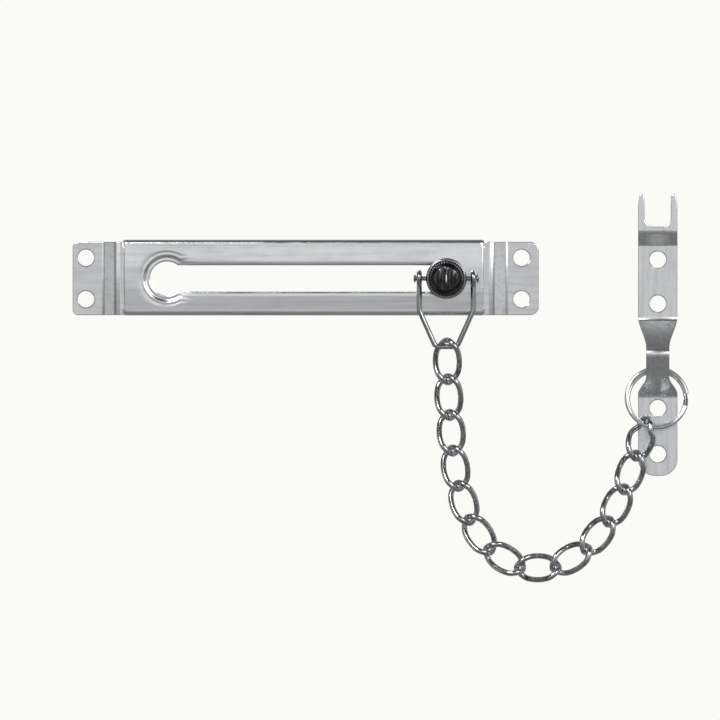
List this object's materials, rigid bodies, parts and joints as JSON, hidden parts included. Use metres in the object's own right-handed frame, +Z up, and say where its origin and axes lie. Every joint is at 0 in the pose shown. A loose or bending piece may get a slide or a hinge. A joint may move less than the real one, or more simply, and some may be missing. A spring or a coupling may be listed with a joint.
{
  "type": "door chain guard",
  "caption": "Door chain guard: slotted track plate with keyhole, sliding knurled knob with wire bail, twisted-link chain, split ring and jamb bracket with fork and bridge.",
  "frame": {"origin": "centre of the track plate's left screw tab, on its back face (the door surface)", "axes": "+X to the right along the slot, +Z up, +Y into the door; the whole set stands off the door towards -Y"},
  "size_m": [0.1664, 0.013, 0.1049],
  "materials": {
    "track_stainless": "buffed stainless sheet",
    "washer_steel": "plain steel washer",
    "knob_dark_nickel": "dark bright-plated, turned and knurled",
    "collar_steel": "plated steel",
    "bail_wire_steel": "drawn wire, bright",
    "ring_wire_steel": "drawn spring wire, bright",
    "bracket_stainless": "buffed stainless sheet",
    "chain_steel": "bright plated wire links"
  },
  "bodies": {
    "base": {"track_plate": "track_stainless", "jamb_bracket": "bracket_stainless"},
    "slider": {"slide_washer": "washer_steel"},
    "knob": {"knurled_knob": "knob_dark_nickel"},
    "bail": {"bail_collar": "collar_steel", "wire_bail": "bail_wire_steel"},
    "link_01": {"chain_link_01": "chain_steel"},
    "link_02": {"chain_link_02": "chain_steel"},
    "link_03": {"chain_link_03": "chain_steel"},
    "link_04": {"chain_link_04": "chain_steel"},
    "link_05": {"chain_link_05": "chain_steel"},
    "link_06": {"chain_link_06": "chain_steel"},
    "link_07": {"chain_link_07": "chain_steel"},
    "link_08": {"chain_link_08": "chain_steel"},
    "link_09": {"chain_link_09": "chain_steel"},
    "link_10": {"chain_link_10": "chain_steel"},
    "link_11": {"chain_link_11": "chain_steel"},
    "link_12": {"chain_link_12": "chain_steel"},
    "link_13": {"chain_link_13": "chain_steel"},
    "ring": {"split_ring": "ring_wire_steel"}
  },
  "joints": [
    {"name": "knob_slide", "type": "slide", "parent": "base", "child": "slider", "axis": [1, 0, 0], "range_m": [-0.069, 0]},
    {"name": "knob_spin", "type": "hinge", "parent": "slider", "child": "knob", "pos_m": [0.0973, -0.0037, 0], "axis": [0, -1, 0], "continuous": true},
    {"name": "collar_swing", "type": "hinge", "parent": "slider", "child": "bail", "pos_m": [0.0973, -0.0052, 0], "axis": [0, -1, 0], "range_deg": [0, 43.2]},
    {"name": "link_01_hinge", "type": "hinge", "parent": "bail", "child": "link_01", "pos_m": [0.09745, -0.0052, -0.01755], "axis": [0, -1, 0], "range_deg": [-0.8, 0]},
    {"name": "link_02_hinge", "type": "hinge", "parent": "bail", "child": "link_02", "pos_m": [0.09755, -0.0052, -0.02136], "axis": [0, -1, 0], "range_deg": [-1.3, 0]},
    {"name": "link_03_hinge", "type": "hinge", "parent": "bail", "child": "link_03", "pos_m": [0.09781, -0.0052, -0.02884], "axis": [0, -1, 0], "range_deg": [-2.3, 0]},
    {"name": "link_04_hinge", "type": "hinge", "parent": "bail", "child": "link_04", "pos_m": [0.09825, -0.0052, -0.0375], "axis": [0, -1, 0], "range_deg": [-4.4, 0]},
    {"name": "link_05_hinge", "type": "hinge", "parent": "bail", "child": "link_05", "pos_m": [0.09904, -0.0052, -0.04647], "axis": [0, -1, 0], "range_deg": [-8.3, 0]},
    {"name": "link_06_hinge", "type": "hinge", "parent": "bail", "child": "link_06", "pos_m": [0.10046, -0.0052, -0.055], "axis": [0, -1, 0], "range_deg": [-14.9, 0]},
    {"name": "link_07_hinge", "type": "hinge", "parent": "bail", "child": "link_07", "pos_m": [0.1029, -0.0052, -0.06276], "axis": [0, -1, 0], "range_deg": [-24.9, 0]},
    {"name": "link_08_hinge", "type": "hinge", "parent": "link_07", "child": "link_08", "pos_m": [0.11717, -0.0052, -0.07815], "axis": [0, -1, 0], "range_deg": [-13.6, 0]},
    {"name": "link_09_hinge", "type": "hinge", "parent": "link_08", "child": "link_09", "pos_m": [0.12682, -0.0052, -0.07805], "axis": [0, -1, 0], "range_deg": [-16.4, 0]},
    {"name": "link_10_hinge", "type": "hinge", "parent": "link_09", "child": "link_10", "pos_m": [0.13516, -0.0052, -0.07319], "axis": [0, -1, 0], "range_deg": [-15.6, 0]},
    {"name": "link_11_hinge", "type": "hinge", "parent": "link_10", "child": "link_11", "pos_m": [0.14115, -0.0052, -0.06563], "axis": [0, -1, 0], "range_deg": [-11.1, 0]},
    {"name": "link_12_hinge", "type": "hinge", "parent": "link_10", "child": "link_12", "pos_m": [0.1429, -0.0052, -0.06276], "axis": [0, -1, 0], "range_deg": [-16.9, 0]},
    {"name": "link_13_hinge", "type": "hinge", "parent": "link_10", "child": "link_13", "pos_m": [0.14344, -0.0052, -0.06179], "axis": [0, -1, 0], "range_deg": [-18.2, 0]},
    {"name": "ring_hinge", "type": "hinge", "parent": "link_13", "child": "ring", "pos_m": [0.15125, -0.0052, -0.03857], "axis": [0, -1, 0], "range_deg": [0, 21.2]}
  ],
  "couplings": [
    {"joint": "collar_swing", "follows": "knob_slide", "rad_per_m": -10.884},
    {"joint": "link_01_hinge", "follows": "knob_slide", "rad_per_m": 0.1696},
    {"joint": "link_02_hinge", "follows": "knob_slide", "rad_per_m": 0.2803},
    {"joint": "link_03_hinge", "follows": "knob_slide", "rad_per_m": 0.5426},
    {"joint": "link_04_hinge", "follows": "knob_slide", "rad_per_m": 1.0655},
    {"joint": "link_05_hinge", "follows": "knob_slide", "rad_per_m": 2.0621},
    {"joint": "link_06_hinge", "follows": "knob_slide", "rad_per_m": 3.7398},
    {"joint": "link_07_hinge", "follows": "knob_slide", "rad_per_m": 6.2671},
    {"joint": "link_08_hinge", "follows": "knob_slide", "rad_per_m": 3.4126},
    {"joint": "link_09_hinge", "follows": "knob_slide", "rad_per_m": 4.0988},
    {"joint": "link_10_hinge", "follows": "knob_slide", "rad_per_m": 3.9072},
    {"joint": "link_11_hinge", "follows": "knob_slide", "rad_per_m": 2.776},
    {"joint": "link_12_hinge", "follows": "knob_slide", "rad_per_m": 4.2479},
    {"joint": "link_13_hinge", "follows": "knob_slide", "rad_per_m": 4.5638},
    {"joint": "ring_hinge", "follows": "knob_slide", "rad_per_m": -5.3119}
  ]
}
